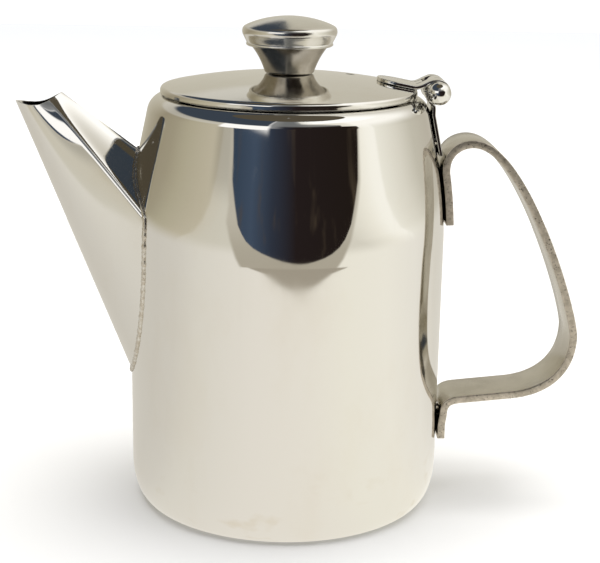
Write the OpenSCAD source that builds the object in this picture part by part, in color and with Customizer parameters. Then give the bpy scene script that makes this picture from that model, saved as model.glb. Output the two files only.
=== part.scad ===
// Stainless steel teapot with a hinged domed lid, a welded cone spout and a flat bar handle.
// Millimetres. +Z is up, the spout points to -X and the handle to +X.
// The origin is on the axis of the body, at the level it stands on.

/* [Body] */
// Outer diameter of the straight part of the body
body_d = 104; // [84:1:126]
// Height of the straight part, from the base up to the start of the shoulder
straight_h = 89; // [74:0.5:107]
// Height of the shoulder, from the straight part up to the crest of the mouth
shoulder_h = 47; // [39:0.5:56.5]
// How far the crest of the mouth lies inside the straight wall
crest_in = 6; // [5:0.1:7.2]
// Height above the straight part where the lines of the wall and of the shoulder would meet
knee_h = 14; // [11.5:0.5:17]
// Sheet thickness of the body
body_wall = 0.8; // [0.6:0.05:1.2]
// How far in the rounded corner of the base runs
base_corner = 4.7; // [3.5:0.1:6]
// How far up the rounded corner of the base runs
base_corner_h = 12.5; // [10:0.5:15]
// Radius of the roll at the crest of the mouth
crest_roll = 6; // [5:0.1:7.2]
// How far the rolled edge runs in below the lid
lip_run = 3; // [2:0.5:5]

/* [Spout] */
// Distance from the crest of the mouth down to the top of the spout's root
spout_root_drop = 18.5; // [15:0.5:23]
// Height of the bottom of the spout's root
spout_root_bottom = 43; // [30:1:60]
// Greatest width of the root, measured across the body
spout_root_w = 49; // [36:1:58]
// Share of the root's height at which it is widest, counted from its top
spout_wide_at = 0.27; // [0.2:0.01:0.4]
// Distance from the body's wall out to the pouring lip
spout_out = 36.3; // [30:0.1:44]
// Distance from the crest of the mouth down to the pouring lip
spout_tip_drop = 3; // [0:0.1:8]
// Length of the cut at the tip, from the pouring lip back to the ridge
spout_tip_len = 15; // [11:0.5:20]
// How much higher the back of the cut is than the pouring lip
spout_tip_rise = 2.8; // [0:0.1:6]
// Width of the spout at its tip
spout_tip_w = 10.5; // [8:0.5:16]
// Depth of the hollow in the cut of the tip
spout_tip_dip = 2.2; // [0:0.1:4]
// Sheet thickness of the spout
spout_wall = 0.9; // [0.7:0.05:1.2]
// Radius of the weld bead round the spout's root
weld_r = 0.9; // [0.7:0.05:1.3]

/* [Strainer] */
// Diameter of the strainer holes in the body wall behind the spout
strainer_hole_d = 4; // [3:0.1:5]
// Distance between neighbouring strainer holes
strainer_pitch = 7; // [6.2:0.1:9]

/* [Handle] */
// Width of the handle's bar
bar_w = 18; // [15:0.5:22]
// Thickness of the handle's bar
bar_t = 2.5; // [2:0.1:3.5]
// Distance from the body's wall out to the outermost face of the handle
handle_out = 46; // [40:0.5:56]
// Height of the handle's outermost point
handle_bulge_h = 56; // [48:1:66]
// Distance from the crest of the mouth down to the top face of the handle's arch
handle_top_drop = 13.3; // [11:0.1:16]
// Distance from the crest of the mouth down to the lower end of the upper tab
upper_tab_drop = 41.4; // [36:0.1:45]
// Height of the lower end of the lower tab
lower_tab_h = 20; // [14:0.5:30]
// Height of the lower grip, where it leaves the lower tab
lower_grip_h = 34; // [28:0.5:42]

/* [Lid] */
// How far the lid's rim lies inside the widest part of the crest
lid_in = 4.3; // [3.6:0.1:5.2]
// Height of the lid's dome above its rim
dome_h = 4.5; // [3:0.1:7]
// Depth of the lid's turned down rim
lid_rim_h = 2.1; // [1.5:0.1:4]
// Sheet thickness of the lid
lid_wall = 0.8; // [0.6:0.05:1]
// Gap between the lid's rim and the crest of the mouth
lid_gap = 0.3; // [0.2:0.05:0.6]
// Diameter of the steam hole in the lid
vent_d = 3; // [2:0.1:4.5]
// Distance from the lid's axis to the steam hole
vent_out = 22; // [18:0.5:26]

/* [Knob] */
// Greatest diameter of the knob's cap
cap_d = 31; // [26:0.5:38]
// Height of the knob above the lid
knob_h = 18.1; // [16:0.1:24]
// Diameter of the foot of the knob's neck
neck_foot_d = 16; // [13:0.5:20]
// Height of the neck, up to the crimped edge of the cap
neck_h = 9.1; // [7.5:0.1:11]
// Sheet thickness of the knob's neck and cap
knob_wall = 0.8; // [0.6:0.05:1]
// Diameter of the screw that holds the knob
screw_d = 4; // [3:0.5:5]

/* [Hinge] */
// How far the hinge pin lies outside the crest of the mouth
pin_beyond = 1.7; // [1:0.1:4]
// Height of the hinge pin above the crest of the mouth
pin_up = 2; // [1.6:0.1:4]
// Diameter of the hinge pin
pin_d = 4; // [3:0.1:4.6]
// Outer diameter of the hinge knuckles
knuckle_d = 7; // [6.4:0.1:8]
// Width of the two hinge leaves
leaf_w = 15; // [13:0.5:18]
// Width of the fixed knuckle
mid_knuckle_w = 5; // [4:0.5:7]
// How far the fixed knuckle sits from the middle of the hinge
mid_knuckle_off = 1.2; // [0:0.1:2]
// Sheet thickness of the hinge leaves
leaf_t = 1.2; // [1:0.05:1.5]
// Length of the lid's leaf, from the pin to its rounded end
leaf_len = 19; // [16:0.5:23]
// Distance from the crest of the mouth down to the lower end of the fixed leaf
bracket_drop = 18.5; // [16:0.5:22]
// Diameter of the balls on the ends of the pin
ball_d = 7.4; // [6:0.1:9]
// Radial clearance of the pin in the lid's knuckles
pin_clear = 0.05; // [0.02:0.01:0.1]
// Side gap between neighbouring knuckles
knuckle_gap = 0.3; // [0.2:0.05:0.5]

/* [Hidden] */
$fn = 96;

seat_gap = 0.08;      // gap under a piece that is spot welded on
press = 0.02;         // how much smaller a pressed bore is than its pin
cut = 1;              // how far a cutting shape runs past what it cuts

body_r = body_d / 2;

// The shoulder bends in from the straight wall to a straight cone, and then rolls over the crest.
crest_h = straight_h + shoulder_h;
crest_r = body_r - crest_in;
roll_r = crest_roll;
roll_c = [crest_r - roll_r, crest_h - roll_r];
roll_end_a = 100;
knee = [body_r, straight_h + knee_h];
to_roll = roll_c - knee;
cone_a = atan(-to_roll[0] / to_roll[1]) - asin(roll_r / norm(to_roll));
bend_r = knee_h / tan(cone_a / 2);
bend_c = [body_r - bend_r, straight_h];
bend_end = bend_c + bend_r * [cos(cone_a), sin(cone_a)];

lid_r = crest_r - lid_in;
rim_h = crest_h + lid_gap + lid_rim_h;
dome_r = (lid_r * lid_r + dome_h * dome_h) / (2 * dome_h);
dome_apex = rim_h + dome_h;
dome_c = dome_apex - dome_r;

pin_r = pin_d / 2;
pin_out = crest_r + pin_beyond;
pin_h = crest_h + pin_up;
knuckle_r = knuckle_d / 2;

// Outer radius of the body at height z, below its crest
function body_at(z) = z <= straight_h ? body_r
    : z <= bend_end[1] ? bend_c[0] + sqrt(bend_r * bend_r - (z - straight_h) * (z - straight_h))
    : bend_end[0] - (z - bend_end[1]) * tan(cone_a);

// Height of the lid's outer face at distance r from its axis
function dome_at(r) = dome_c + sqrt(dome_r * dome_r - r * r);

// Points of an arc round c, from angle a0 to a1, in n steps
function arc(c, r, a0, a1, n) = [for (i = [0:n]) let (a = a0 + (a1 - a0) * i / n) c + r * [cos(a), sin(a)]];

// Points of a cubic curve from p0 to p3, with p1 and p2 as its handles
function bezier(p0, p1, p2, p3, n) =
    [for (i = [1:n]) let (t = i / n, s = 1 - t)
        s * s * s * p0 + 3 * s * s * t * p1 + 3 * s * t * t * p2 + t * t * t * p3];

function reversed(list) = [for (i = [len(list) - 1:-1:0]) list[i]];

// Unit normal of a path at point i, on the left of its direction of travel
function path_normal(path, i) =
    let (a = path[max(i - 1, 0)], b = path[min(i + 1, len(path) - 1)], d = b - a)
    [-d[1], d[0]] / norm(d);

// Outline of a strip of thickness t whose middle follows the path
function strip(path, t) = concat(
    [for (i = [0:len(path) - 1]) path[i] + path_normal(path, i) * t / 2],
    reversed([for (i = [0:len(path) - 1]) path[i] - path_normal(path, i) * t / 2]));

// An outline drawn in X and Z, made w wide across Y
module across(w) {
    translate([0, w / 2, 0]) rotate([90, 0, 0]) linear_extrude(w) children();
}

// A cylinder along Y from y0 to y1, on the line x, z
module rod(x, z, r, y0, y1) {
    translate([x, y1, z]) rotate([90, 0, 0]) cylinder(r = r, h = y1 - y0);
}

// A closed skin over rings of points: rings follow each other, and the last joins the first
module ring_loft(rings) {
    n = len(rings);
    m = len(rings[0]);
    polyhedron(
        points = [for (ring = rings) each ring],
        faces = [for (i = [0:n - 1], j = [0:m - 1])
            let (k = (i + 1) % n, l = (j + 1) % m)
            each [[i * m + j, k * m + l, i * m + l], [i * m + j, k * m + j, k * m + l]]],
        convexity = 8);
}

// ---------------------------------------------------------------- body

// One face of the body's sheet, inset by w from the outer face
function body_face(w) = concat(
    [[0, w]],
    [for (a = [-90:7.5:0]) [body_r - base_corner + (base_corner - w) * cos(a),
        base_corner_h + (base_corner_h - w) * sin(a)]],
    arc(bend_c, bend_r - w, 0, cone_a, 20),
    arc(roll_c, roll_r - w, cone_a, roll_end_a, 14),
    [roll_c + (roll_r - w) * [cos(roll_end_a), sin(roll_end_a)]
        + lip_run * [-sin(roll_end_a), cos(roll_end_a)]]);

// Strainer holes: a hexagonal pattern that stays inside the spout's root
module strainer_holes() {
    rows = floor((spout_root_top - spout_root_bottom) / strainer_pitch);
    for (i = [1:rows], j = [-2:2]) {
        y = (j + (i % 2) / 2) * strainer_pitch;
        z = spout_root_top - i * strainer_pitch;
        room = root_half_w(root_share(z)) - spout_wall - strainer_hole_d;
        if (abs(y) < room && z > spout_root_bottom + strainer_pitch * 1.5)
            translate([0, y, z]) rotate([0, -90, 0]) cylinder(d = strainer_hole_d, h = body_r + cut, $fn = 32);
    }
}

module body_shell() {
    color("silver") difference() {
        rotate_extrude() polygon(concat(body_face(0), reversed(body_face(body_wall))));
        strainer_holes();
    }
}

// ---------------------------------------------------------------- spout

spout_root_top = crest_h - spout_root_drop;
spout_reach = body_r + spout_out;
spout_tip_h = crest_h - spout_tip_drop;

// Share of the root's height at height z, 0 at its top and 1 at its bottom
function root_share(z) = (spout_root_top - z) / (spout_root_top - spout_root_bottom);

// Half the root's width at a share s of its height: a cusp at the top and a full round below
function root_half_w(s) = spout_root_w / 2 * (s < spout_wide_at
    ? pow(sin(90 * s / spout_wide_at), 1.6)
    : pow(max(0, 1 - pow((s - spout_wide_at) / (1 - spout_wide_at), 2.4)), 0.42));

spout_sides = 28;     // points down each side of the spout
spout_rings = 9;      // rings from the root to the tip

// Shares at which the spout's section has its points, closer together at both ends
function side_share(i) = (1 - cos(180 * i / spout_sides)) / 2;

// A point of the root, on the body's outer face, on side 1 or -1. An inset of w shrinks the outline,
// and more at the top, where its two sides meet at a sharp angle.
function root_point(s, side, w) =
    let (top = spout_root_top - 3 * w, bottom = spout_root_bottom + 1.3 * w,
         z = top - (top - bottom) * s,
         y = side * root_half_w(s) * (1 - 2 * w / spout_root_w))
    [-sqrt(body_at(z) * body_at(z) - y * y) - seat_gap, y, z];

// A point of the tip's cut: its width is rounded, and its middle dips below its two ends
function tip_point(s, side, w) =
    let (f = s * (1 - 2 * w / spout_tip_len) + w / spout_tip_len,
         y = side * (spout_tip_w / 2 - w) * pow(sin(180 * s), 0.72))
    [-spout_reach + (1 - f) * spout_tip_len, y,
     spout_tip_h + (1 - f) * spout_tip_rise - spout_tip_dip * pow(sin(180 * f), 1.2)];

// One ring of the spout's section: down one side and up the other
function spout_ring(t, w) = concat(
    [for (i = [0:spout_sides]) let (s = side_share(i)) root_point(s, 1, w) * (1 - t) + tip_point(s, 1, w) * t],
    [for (i = [spout_sides - 1:-1:1]) let (s = side_share(i))
        root_point(s, -1, w) * (1 - t) + tip_point(s, -1, w) * t]);

module spout() {
    color("gainsboro") ring_loft(concat(
        [for (i = [0:spout_rings]) spout_ring(i / spout_rings, 0)],
        [for (i = [spout_rings:-1:0]) spout_ring(i / spout_rings, spout_wall)]));
}

// The weld bead is a round rod bent along the outer edge of the root.
weld_sides = 8;

function weld_ring(path, i) =
    let (n = len(path), d = path[(i + 1) % n] - path[(i + n - 1) % n], along = d / norm(d),
         out = [path[i][0], path[i][1], 0] / norm([path[i][0], path[i][1], 0]),
         side = cross(along, out) / norm(cross(along, out)), up = cross(side, along))
    [for (k = [0:weld_sides - 1]) let (a = 360 * k / weld_sides)
        path[i] + weld_r * (cos(a) * side + sin(a) * up)];

module spout_weld() {
    path = spout_ring(0, 0);
    color("darkgray") ring_loft([for (i = [len(path) - 1:-1:0]) weld_ring(path, i)]);
}

// ---------------------------------------------------------------- handle

half_t = bar_t / 2;
tab_out = half_t + seat_gap;
grip_x = body_r + handle_out - half_t;
arch_top = [body_r + 8, crest_h - handle_top_drop - half_t];
upper_tab_h = crest_h - upper_tab_drop;
tab_len = 17;
upper_tab_top = [body_at(upper_tab_h + tab_len) + tab_out, upper_tab_h + tab_len];
bulge = [grip_x, handle_bulge_h];
grip_start = [body_r + 24, lower_grip_h + 1.6];
grip_end = [body_r + 8, lower_grip_h];
lower_tab_top = [body_r + tab_out + 0.5, lower_grip_h - 5.5];

// Middle line of the bar: up the upper tab, over the arch, round the bulge and down the lower tab
handle_path = concat(
    [for (z = [upper_tab_h:2:upper_tab_h + tab_len]) [body_at(z) + tab_out, z]],
    bezier(upper_tab_top, upper_tab_top + [-0.7, 6.5], arch_top - [4.8, 0], arch_top, 10),
    bezier(arch_top, arch_top + [17, 0], bulge + [0, 8], bulge, 24),
    bezier(bulge, bulge - [0, 12], grip_start + [13, 1.1], grip_start, 14),
    [grip_end],
    bezier(grip_end, grip_end - [4.6, 0.4], lower_tab_top + [0, 4], lower_tab_top, 8),
    [[body_r + tab_out, lower_grip_h - 9], [body_r + tab_out, lower_tab_h]]);

module handle() {
    color("darkgray") across(bar_w) polygon(strip(handle_path, bar_t));
}

// Spot welds: discs that join a tab to the wall behind it
nugget_r = 2.2;
nugget_in = body_wall * 0.6;
nugget_out = bar_t * 0.4;

module handle_welds() {
    for (z = [upper_tab_h + 4, upper_tab_h + 11, lower_tab_h + 3.5, lower_tab_h + 9])
        color("gray") translate([body_at(z) - nugget_in, 0, z]) rotate([0, 90, 0])
            cylinder(r = nugget_r, h = nugget_in + seat_gap + nugget_out, $fn = 32);
}

// ---------------------------------------------------------------- hinge

mid_y0 = mid_knuckle_off - mid_knuckle_w / 2;
mid_y1 = mid_knuckle_off + mid_knuckle_w / 2;
bracket_bottom_h = crest_h - bracket_drop;
bracket_leaves_h = crest_h - 5.5;
strip_x = body_at(bracket_leaves_h) + leaf_t / 2 + seat_gap;
strip_top = pin_h - knuckle_r - knuckle_gap;

// Middle line of the fixed leaf: up the shoulder, then straight up to the pin
bracket_path = concat(
    [for (i = [0:6]) let (z = bracket_bottom_h + (bracket_leaves_h - bracket_bottom_h) * i / 6)
        [body_at(z) + leaf_t / 2 + seat_gap, z]],
    [[strip_x, strip_top]]);

module hinge_bracket() {
    color("dimgray") difference() {
        union() {
            across(leaf_w) polygon(strip(bracket_path, leaf_t));
            translate([0, mid_knuckle_off, 0]) across(mid_knuckle_w)
                polygon(strip([[strip_x, strip_top - leaf_t], [strip_x, pin_h]], leaf_t));
            rod(pin_out, pin_h, knuckle_r, mid_y0, mid_y1);
        }
        rod(pin_out, pin_h, pin_r - press, mid_y0 - cut, mid_y1 + cut);
    }
}

module bracket_welds() {
    z = bracket_bottom_h + 4;
    for (y = [-leaf_w / 5, leaf_w / 5])
        color("gray") translate([body_at(z) - nugget_in - 0.15, y, z]) rotate([0, 90, 0])
            cylinder(r = 1.6, h = nugget_in + 0.15 + seat_gap + leaf_t / 2, $fn = 32);
}

pin_end = leaf_w / 2 + knuckle_gap + ball_d * 0.7;
ball_y = leaf_w / 2 + knuckle_gap + sqrt(ball_d * ball_d / 4 - pin_r * pin_r);

module hinge_pin() {
    color("silver") rod(pin_out, pin_h, pin_r, -pin_end, pin_end);
}

module pin_balls() {
    color("gainsboro") difference() {
        for (side = [-1, 1]) translate([pin_out, side * ball_y, pin_h]) sphere(d = ball_d, $fn = 64);
        rod(pin_out, pin_h, pin_r - press, -pin_end, pin_end);
    }
}

leaf_end_x = pin_out - leaf_len;
leaf_lift_x = lid_r - 1.5;
leaf_over = leaf_t / 2 + seat_gap;

// Middle line of the lid's leaf: down the dome, then up and over to the top of the pin
leaf_path = concat(
    [for (i = [0:5]) let (x = leaf_end_x + (leaf_lift_x - leaf_end_x) * i / 5) [x, dome_at(x) + leaf_over]],
    bezier([leaf_lift_x, dome_at(leaf_lift_x) + leaf_over],
           [leaf_lift_x + 3, dome_at(leaf_lift_x) + leaf_over - 0.3],
           [pin_out - 3.5, pin_h + knuckle_r - leaf_t / 2],
           [pin_out, pin_h + knuckle_r - leaf_t / 2], 8));

// Plan of the lid's leaf: straight sides and a rounded end
module leaf_plan() {
    corner = leaf_w * 0.42;
    for (side = [-1, 1])
        translate([leaf_end_x + corner, side * (leaf_w / 2 - corner)]) circle(r = corner);
    translate([leaf_end_x + corner, -leaf_w / 2]) square([leaf_len + knuckle_d - corner, leaf_w]);
    translate([leaf_end_x, corner - leaf_w / 2]) square([corner, leaf_w - 2 * corner]);
}

module lid_leaf() {
    notch_x = pin_out - knuckle_r - knuckle_gap;
    slit = 0.6;
    color("silver") difference() {
        union() {
            intersection() {
                across(leaf_w) polygon(strip(leaf_path, leaf_t));
                translate([0, 0, crest_h - cut]) linear_extrude(dome_h + knuckle_d * 2) leaf_plan();
            }
            rod(pin_out, pin_h, knuckle_r, -leaf_w / 2, leaf_w / 2);
        }
        rod(pin_out, pin_h, pin_r + pin_clear, -leaf_w, leaf_w);
        translate([notch_x, mid_y0 - knuckle_gap, crest_h - knuckle_d])
            cube([knuckle_d * 2, mid_knuckle_w + 2 * knuckle_gap, knuckle_d * 4]);
        for (y = [mid_y0 - knuckle_gap, mid_y1 + knuckle_gap - slit])
            translate([notch_x - 2.2, y, crest_h - knuckle_d]) cube([knuckle_d, slit, knuckle_d * 4]);
    }
}

module leaf_welds() {
    for (y = [-leaf_w / 5, leaf_w / 5]) {
        x = leaf_end_x + leaf_len * 0.28;
        z = dome_at(x + 1.6) - lid_wall * 0.6;
        color("gray") translate([x, y, z - 0.1]) cylinder(r = 1.6, h = dome_at(x) + leaf_t * 0.5 - z, $fn = 32);
    }
}

// ---------------------------------------------------------------- lid

rim_round = 1.3;      // radius where the dome turns down into the rim

// One face of the lid's sheet, inset by w: the dome, the rounded edge and the turned down rim
dome_edge_a = acos((lid_r - rim_round) / (dome_r - rim_round));
rim_c = [lid_r - rim_round, dome_c + sqrt(pow(dome_r - rim_round, 2) - pow(lid_r - rim_round, 2))];

function lid_face(w) = concat(
    arc([0, dome_c], dome_r - w, 90, dome_edge_a, 24),
    w < rim_round ? arc(rim_c, rim_round - w, dome_edge_a, 0, 6) : [rim_c + [rim_round - w, 0]],
    [[lid_r - w, crest_h + lid_gap]]);

module lid_shell() {
    color("silver") difference() {
        rotate_extrude() polygon(concat(lid_face(0), reversed(lid_face(lid_wall * 0.99))));
        translate([0, 0, crest_h]) cylinder(d = screw_d + 0.6, h = dome_h * 3);
        rotate([0, 0, 22]) translate([vent_out, 0, crest_h]) cylinder(d = vent_d, h = dome_h * 3, $fn = 32);
    }
}

// ---------------------------------------------------------------- knob

foot_z = dome_apex + seat_gap;
neck_foot_r = neck_foot_d / 2;
cap_r = cap_d / 2;
neck_top_r = cap_r - 2.6;
crimp_r = cap_r - 1.5;
crimp_z = foot_z + neck_h;
cap_edge_up = 4.5;    // height of the cap's widest part above its crimped edge
cap_wide_z = crimp_z + cap_edge_up;
cap_top_z = foot_z + knob_h;

// Outer face of the neck: steep above the foot, then flared like a trumpet
function neck_face(w) = concat(
    [[neck_foot_r - w, foot_z + w]],
    bezier([neck_foot_r - w, foot_z + w],
           [neck_foot_r + 0.8 - w, foot_z + neck_h * 0.35],
           [neck_top_r - 2.4 - w, foot_z + neck_h * 0.72],
           [neck_top_r - w, crimp_z + w * 0.4], 10));

module knob_neck() {
    flange = 0.7;
    outer = concat([[0, foot_z]], neck_face(0), [[crimp_r - knob_wall, crimp_z + 0.1],
        [crimp_r - knob_wall, crimp_z + 0.1 + flange]]);
    inner = concat([[neck_top_r - knob_wall, crimp_z + 0.1 + flange]], reversed(neck_face(knob_wall)),
        [[0, foot_z + knob_wall]]);
    color("slategray") difference() {
        rotate_extrude() polygon(concat(outer, inner));
        translate([0, 0, foot_z - cut]) cylinder(d = screw_d + 0.6, h = knob_wall + 2 * cut);
    }
}

// One face of the cap, inset by w: a low dome, a round edge and a skirt crimped under the neck
function cap_face(w) = concat(
    [[0, cap_top_z - w]],
    bezier([0, cap_top_z - w], [cap_r * 0.45, cap_top_z - w],
           [cap_r * 0.82 - w / 2, cap_top_z - 2.3 - w], [cap_r - 0.7 - w, cap_wide_z + 1.2 - w / 2], 12),
    bezier([cap_r - 0.7 - w, cap_wide_z + 1.2 - w / 2], [cap_r - w * 0.9, cap_wide_z + 0.5],
           [cap_r - w, cap_wide_z - 0.8], [cap_r - 0.5 - w, cap_wide_z - 1.6], 6),
    [[crimp_r - w, crimp_z + 0.1]]);

module knob_cap() {
    under = [[crimp_r - 0.4, crimp_z - 0.6], [crimp_r - 0.9, crimp_z - 0.6], [crimp_r - 0.9, crimp_z]];
    color("gray") rotate_extrude() polygon(concat(
        cap_face(0), under, [[crimp_r - knob_wall + seat_gap, crimp_z]], reversed(cap_face(knob_wall - seat_gap))));
}

nut_h = 3.2;
nut_w = screw_d * 1.75;
washer_r = screw_d * 1.25;
washer_h = 0.8;
washer_z = dome_at(washer_r) - lid_wall - washer_h - seat_gap;
screw_top = foot_z + knob_wall + nut_h + 1;

module knob_nut() {
    color("silver") translate([0, 0, foot_z + knob_wall]) difference() {
        cylinder(d = nut_w / cos(30), h = nut_h, $fn = 6);
        translate([0, 0, -cut]) cylinder(d = screw_d - 2 * press, h = nut_h + 2 * cut);
    }
}

module knob_screw() {
    head_h = screw_d * 0.55;
    color("gainsboro") difference() {
        union() {
            translate([0, 0, washer_z]) cylinder(d = screw_d, h = screw_top - washer_z);
            translate([0, 0, washer_z - head_h]) cylinder(d = screw_d * 1.9, h = head_h);
        }
        translate([-screw_d, -0.5, washer_z - head_h - cut]) cube([screw_d * 2, 1, head_h / 2 + cut]);
    }
}

module knob_washer() {
    color("silver") translate([0, 0, washer_z]) difference() {
        cylinder(r = washer_r, h = washer_h);
        translate([0, 0, -cut]) cylinder(d = screw_d + 0.4, h = washer_h + 2 * cut);
    }
}

body_shell();
spout();
spout_weld();
handle();
handle_welds();
hinge_bracket();
bracket_welds();
hinge_pin();
pin_balls();
lid_shell();
lid_leaf();
leaf_welds();
knob_neck();
knob_cap();
knob_nut();
knob_screw();
knob_washer();
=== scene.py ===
import math

import bpy
import numpy as np
from mathutils import Matrix, Vector


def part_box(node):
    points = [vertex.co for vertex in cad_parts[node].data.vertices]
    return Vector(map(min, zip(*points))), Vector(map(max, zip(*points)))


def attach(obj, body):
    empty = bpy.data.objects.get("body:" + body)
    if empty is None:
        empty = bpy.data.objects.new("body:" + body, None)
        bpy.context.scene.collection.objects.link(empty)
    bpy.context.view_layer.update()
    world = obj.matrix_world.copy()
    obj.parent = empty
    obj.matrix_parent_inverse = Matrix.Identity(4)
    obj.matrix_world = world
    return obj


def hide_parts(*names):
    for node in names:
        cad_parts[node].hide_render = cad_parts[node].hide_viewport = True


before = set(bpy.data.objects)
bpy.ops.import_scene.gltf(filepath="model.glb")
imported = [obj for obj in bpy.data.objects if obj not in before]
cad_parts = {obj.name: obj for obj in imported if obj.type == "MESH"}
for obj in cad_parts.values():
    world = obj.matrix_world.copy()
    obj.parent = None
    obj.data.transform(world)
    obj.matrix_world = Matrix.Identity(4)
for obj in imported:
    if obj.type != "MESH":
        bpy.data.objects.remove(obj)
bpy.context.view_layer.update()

MM = 0.001

# ------------------------------------------------------------------ sizes, from the frame

body_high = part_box("body_shell")[1]
lid_low, lid_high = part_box("lid_shell")
pin_low, pin_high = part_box("hinge_pin")
leaf_low, leaf_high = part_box("lid_leaf")
bracket_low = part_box("hinge_bracket")[0]
handle_low, handle_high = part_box("handle")
spout_low, spout_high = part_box("spout")
ball_low, ball_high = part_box("pin_balls")
neck_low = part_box("knob_neck")[0]
cap_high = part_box("knob_cap")[1]
screw_low, screw_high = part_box("knob_screw")
washer_low, washer_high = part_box("knob_washer")

BODY_R = body_high.x
CREST_H = body_high.z
SHEET = 0.8 * MM
SHOULDER_H = 47 * MM
STRAIGHT_H = CREST_H - SHOULDER_H
CREST_IN = 6 * MM
CREST_R = BODY_R - CREST_IN
KNEE_H = 14 * MM
BASE_CORNER = 4.7 * MM
BASE_CORNER_H = 12.5 * MM
ROLL_R = 6 * MM
ROLL_END = 100
LIP_RUN = 3 * MM
TINY_R = 0.2 * MM

PIN_X = (pin_low.x + pin_high.x) / 2
PIN_Z = (pin_low.z + pin_high.z) / 2
PIN_R = (pin_high.x - pin_low.x) / 2
LEAF_W = leaf_high.y - leaf_low.y
LEAF_T = 1.2 * MM
KNUCKLE_R = leaf_high.z - PIN_Z
KNUCKLE_GAP = 0.3 * MM
MID_Y0, MID_Y1 = -1.3 * MM, 3.7 * MM
SEAT_GAP = 0.08 * MM

LID_R = lid_high.x
LID_FOOT = lid_low.z
LID_APEX = lid_high.z
DOME_H = 4.5 * MM
DOME_R = (LID_R ** 2 + DOME_H ** 2) / (2 * DOME_H)
DOME_C = LID_APEX - DOME_R

BAR_W = handle_high.y - handle_low.y
BAR_T = 2.5 * MM


# ------------------------------------------------------------------ curves

def arc(centre, radius, start, end, count):
    """Points of a circle's arc round a centre, from one angle to another, in degrees."""
    a = np.radians(np.linspace(start, end, count))
    return np.stack([centre[0] + radius * np.cos(a), centre[1] + radius * np.sin(a)], 1)


def bezier(p0, p1, p2, p3, count):
    """Points of a cubic curve: each is the sum of four controls weighted by the cubic's terms."""
    t = np.linspace(0, 1, count)[:, None]
    s = 1 - t
    p0, p1, p2, p3 = (np.asarray(p, float) for p in (p0, p1, p2, p3))
    return s ** 3 * p0 + 3 * s ** 2 * t * p1 + 3 * s * t ** 2 * p2 + t ** 3 * p3


def even(points, step):
    """The same polyline with its points a given step apart, by its running length."""
    points = np.asarray(points, float)
    keep = np.r_[True, np.linalg.norm(np.diff(points, axis=0), axis=1) > 1e-9]
    points = points[keep]
    run = np.r_[0, np.cumsum(np.linalg.norm(np.diff(points, axis=0), axis=1))]
    at = np.linspace(0, run[-1], max(2, int(round(run[-1] / step)) + 1))
    return np.stack([np.interp(at, run, points[:, k]) for k in range(points.shape[1])], 1)


def body_at(z):
    """Outer radius of the body at height z: straight, a gentle bend, then a straight cone."""
    z = np.asarray(z, float)
    bend = BEND_C[0] + np.sqrt(BEND_R ** 2 - np.clip(z - STRAIGHT_H, 0, BEND_R) ** 2)
    cone = BEND_END[0] - (z - BEND_END[1]) * math.tan(CONE_A)
    return np.where(z < BEND_END[1], bend, cone)


def dome_at(r):
    """Height of the lid's outer face at a distance r from the axis: a sphere's cap."""
    return DOME_C + np.sqrt(DOME_R ** 2 - np.asarray(r, float) ** 2)


ROLL_C = np.array([CREST_R - ROLL_R, CREST_H - ROLL_R])
TO_ROLL = ROLL_C - [BODY_R, STRAIGHT_H + KNEE_H]
CONE_A = math.atan(-TO_ROLL[0] / TO_ROLL[1]) - math.asin(ROLL_R / math.hypot(*TO_ROLL))
BEND_R = KNEE_H / math.tan(CONE_A / 2)
BEND_C = np.array([BODY_R - BEND_R, STRAIGHT_H])
BEND_END = BEND_C + BEND_R * np.array([math.cos(CONE_A), math.sin(CONE_A)])


# ------------------------------------------------------------------ meshes

def volume(points, faces):
    """Six times a closed mesh's signed volume: the sum of its triangles' triple products."""
    total = 0.0
    for group in faces:
        if len(group):
            corner = points[group]
            for k in range(1, corner.shape[1] - 1):
                normal = np.cross(corner[:, k], corner[:, k + 1])
                total += np.einsum("ij,ij->i", corner[:, 0], normal).sum()
    return total


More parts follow.
